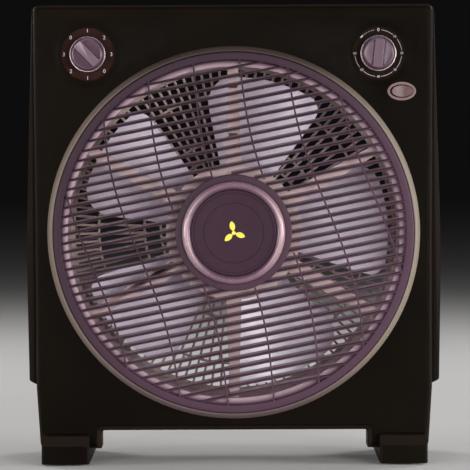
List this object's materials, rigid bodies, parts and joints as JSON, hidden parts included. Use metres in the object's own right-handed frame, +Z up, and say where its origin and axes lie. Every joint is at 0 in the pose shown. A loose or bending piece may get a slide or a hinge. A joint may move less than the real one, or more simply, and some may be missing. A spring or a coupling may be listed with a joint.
{
  "type": "box fan",
  "caption": "Free-standing box fan with a slowly turning louvre disc, a bladed impeller in a duct, two rotary controls and a rocker switch.",
  "frame": {"origin": "centre of the footprint, on the floor under the foot pads", "axes": "+Z up; -Y is the way the front louvre faces and the air leaves; +X is to the right of a person in front of it"},
  "size_m": [0.4084, 0.16, 0.4465],
  "materials": {
    "shell_plastic": "moulded, fine satin grain",
    "trim_plastic": "moulded, satin gloss",
    "carrier_plastic": "moulded, satin",
    "grille_plastic": "moulded, satin",
    "louvre_plastic": "moulded, satin gloss",
    "pearl_ring": "pearlescent lacquer",
    "cap_plastic": "moulded, satin",
    "emblem_print": "pad printed",
    "blade_plastic": "translucent moulding, gloss",
    "dark_plastic": "moulded",
    "steel": "zinc plated",
    "plated_case": "zinc plated sheet",
    "lamination": "stacked sheet",
    "winding_copper": "enamelled copper wire",
    "cast_alloy": "die cast",
    "bronze": "sintered bronze",
    "case_white": "moulded",
    "dial_plate": "printed film",
    "knob_plastic": "moulded, satin gloss",
    "knob_metal": "plated",
    "bezel_plastic": "moulded, gloss",
    "rocker_plastic": "moulded, gloss",
    "terminal_nylon": "moulded nylon",
    "rubber": "moulded",
    "lead_sleeve": "sleeving",
    "thin_lead": "insulated wire"
  },
  "bodies": {
    "housing": {"front_housing": "shell_plastic", "rear_housing": "shell_plastic", "trim_ring": "trim_plastic", "air_duct": "carrier_plastic", "carrier_ring": "carrier_plastic", "front_spider": "carrier_plastic", "rear_grille": "grille_plastic", "left_foot": "shell_plastic", "right_foot": "shell_plastic", "foot_pads": "rubber", "louvre_motor": "plated_case", "louvre_motor_screws": "steel", "wire_clips": "trim_plastic", "stator_core": "lamination", "stator_windings": "winding_copper", "motor_front_bell": "cast_alloy", "motor_rear_bell": "cast_alloy", "motor_bushes": "bronze", "motor_screws": "steel", "run_capacitor": "case_white", "speed_dial": "dial_plate", "speed_switch": "dark_plastic", "timer_dial": "dial_plate", "timer_unit": "plated_case", "dial_nuts": "steel", "rocker_bezel": "bezel_plastic", "rocker_switch": "dark_plastic", "terminal_block": "terminal_nylon", "cord_gland": "rubber", "switch_lead": "lead_sleeve", "motor_lead": "lead_sleeve", "louvre_lead": "thin_lead", "housing_screws": "steel", "grille_screws": "steel", "foot_screws": "steel"},
    "impeller": {"impeller": "blade_plastic", "blade_nut": "dark_plastic", "motor_shaft": "steel", "drive_pin": "steel", "rotor_core": "lamination"},
    "louvre": {"louvre": "louvre_plastic", "hub_bezel": "pearl_ring", "hub_cap": "cap_plastic", "hub_emblem": "emblem_print", "louvre_shaft": "steel", "louvre_nut": "steel"},
    "speed_knob": {"speed_knob": "knob_plastic", "speed_knob_ring": "knob_metal", "speed_shaft": "steel"},
    "timer_knob": {"timer_knob": "knob_plastic", "timer_knob_ring": "knob_metal", "timer_shaft": "steel"},
    "rocker": {"rocker_button": "rocker_plastic"}
  },
  "joints": [
    {"name": "fan_spin", "type": "hinge", "parent": "housing", "child": "impeller", "pos_m": [0, 0, 0.225], "axis": [0, 1, 0], "continuous": true},
    {"name": "louvre_spin", "type": "hinge", "parent": "housing", "child": "louvre", "pos_m": [0, -0.062, 0.225], "axis": [0, 1, 0], "continuous": true},
    {"name": "speed_turn", "type": "hinge", "parent": "housing", "child": "speed_knob", "pos_m": [-0.141, -0.065, 0.3985], "axis": [0, 1, 0], "continuous": true},
    {"name": "timer_turn", "type": "hinge", "parent": "housing", "child": "timer_knob", "pos_m": [0.141, -0.065, 0.3985], "axis": [0, 1, 0], "range_deg": [-51, 264]},
    {"name": "rocker_tip", "type": "hinge", "parent": "housing", "child": "rocker", "pos_m": [0.1635, -0.057, 0.3615], "axis": [0, 0, 1], "range_deg": [-10, 0]}
  ]
}
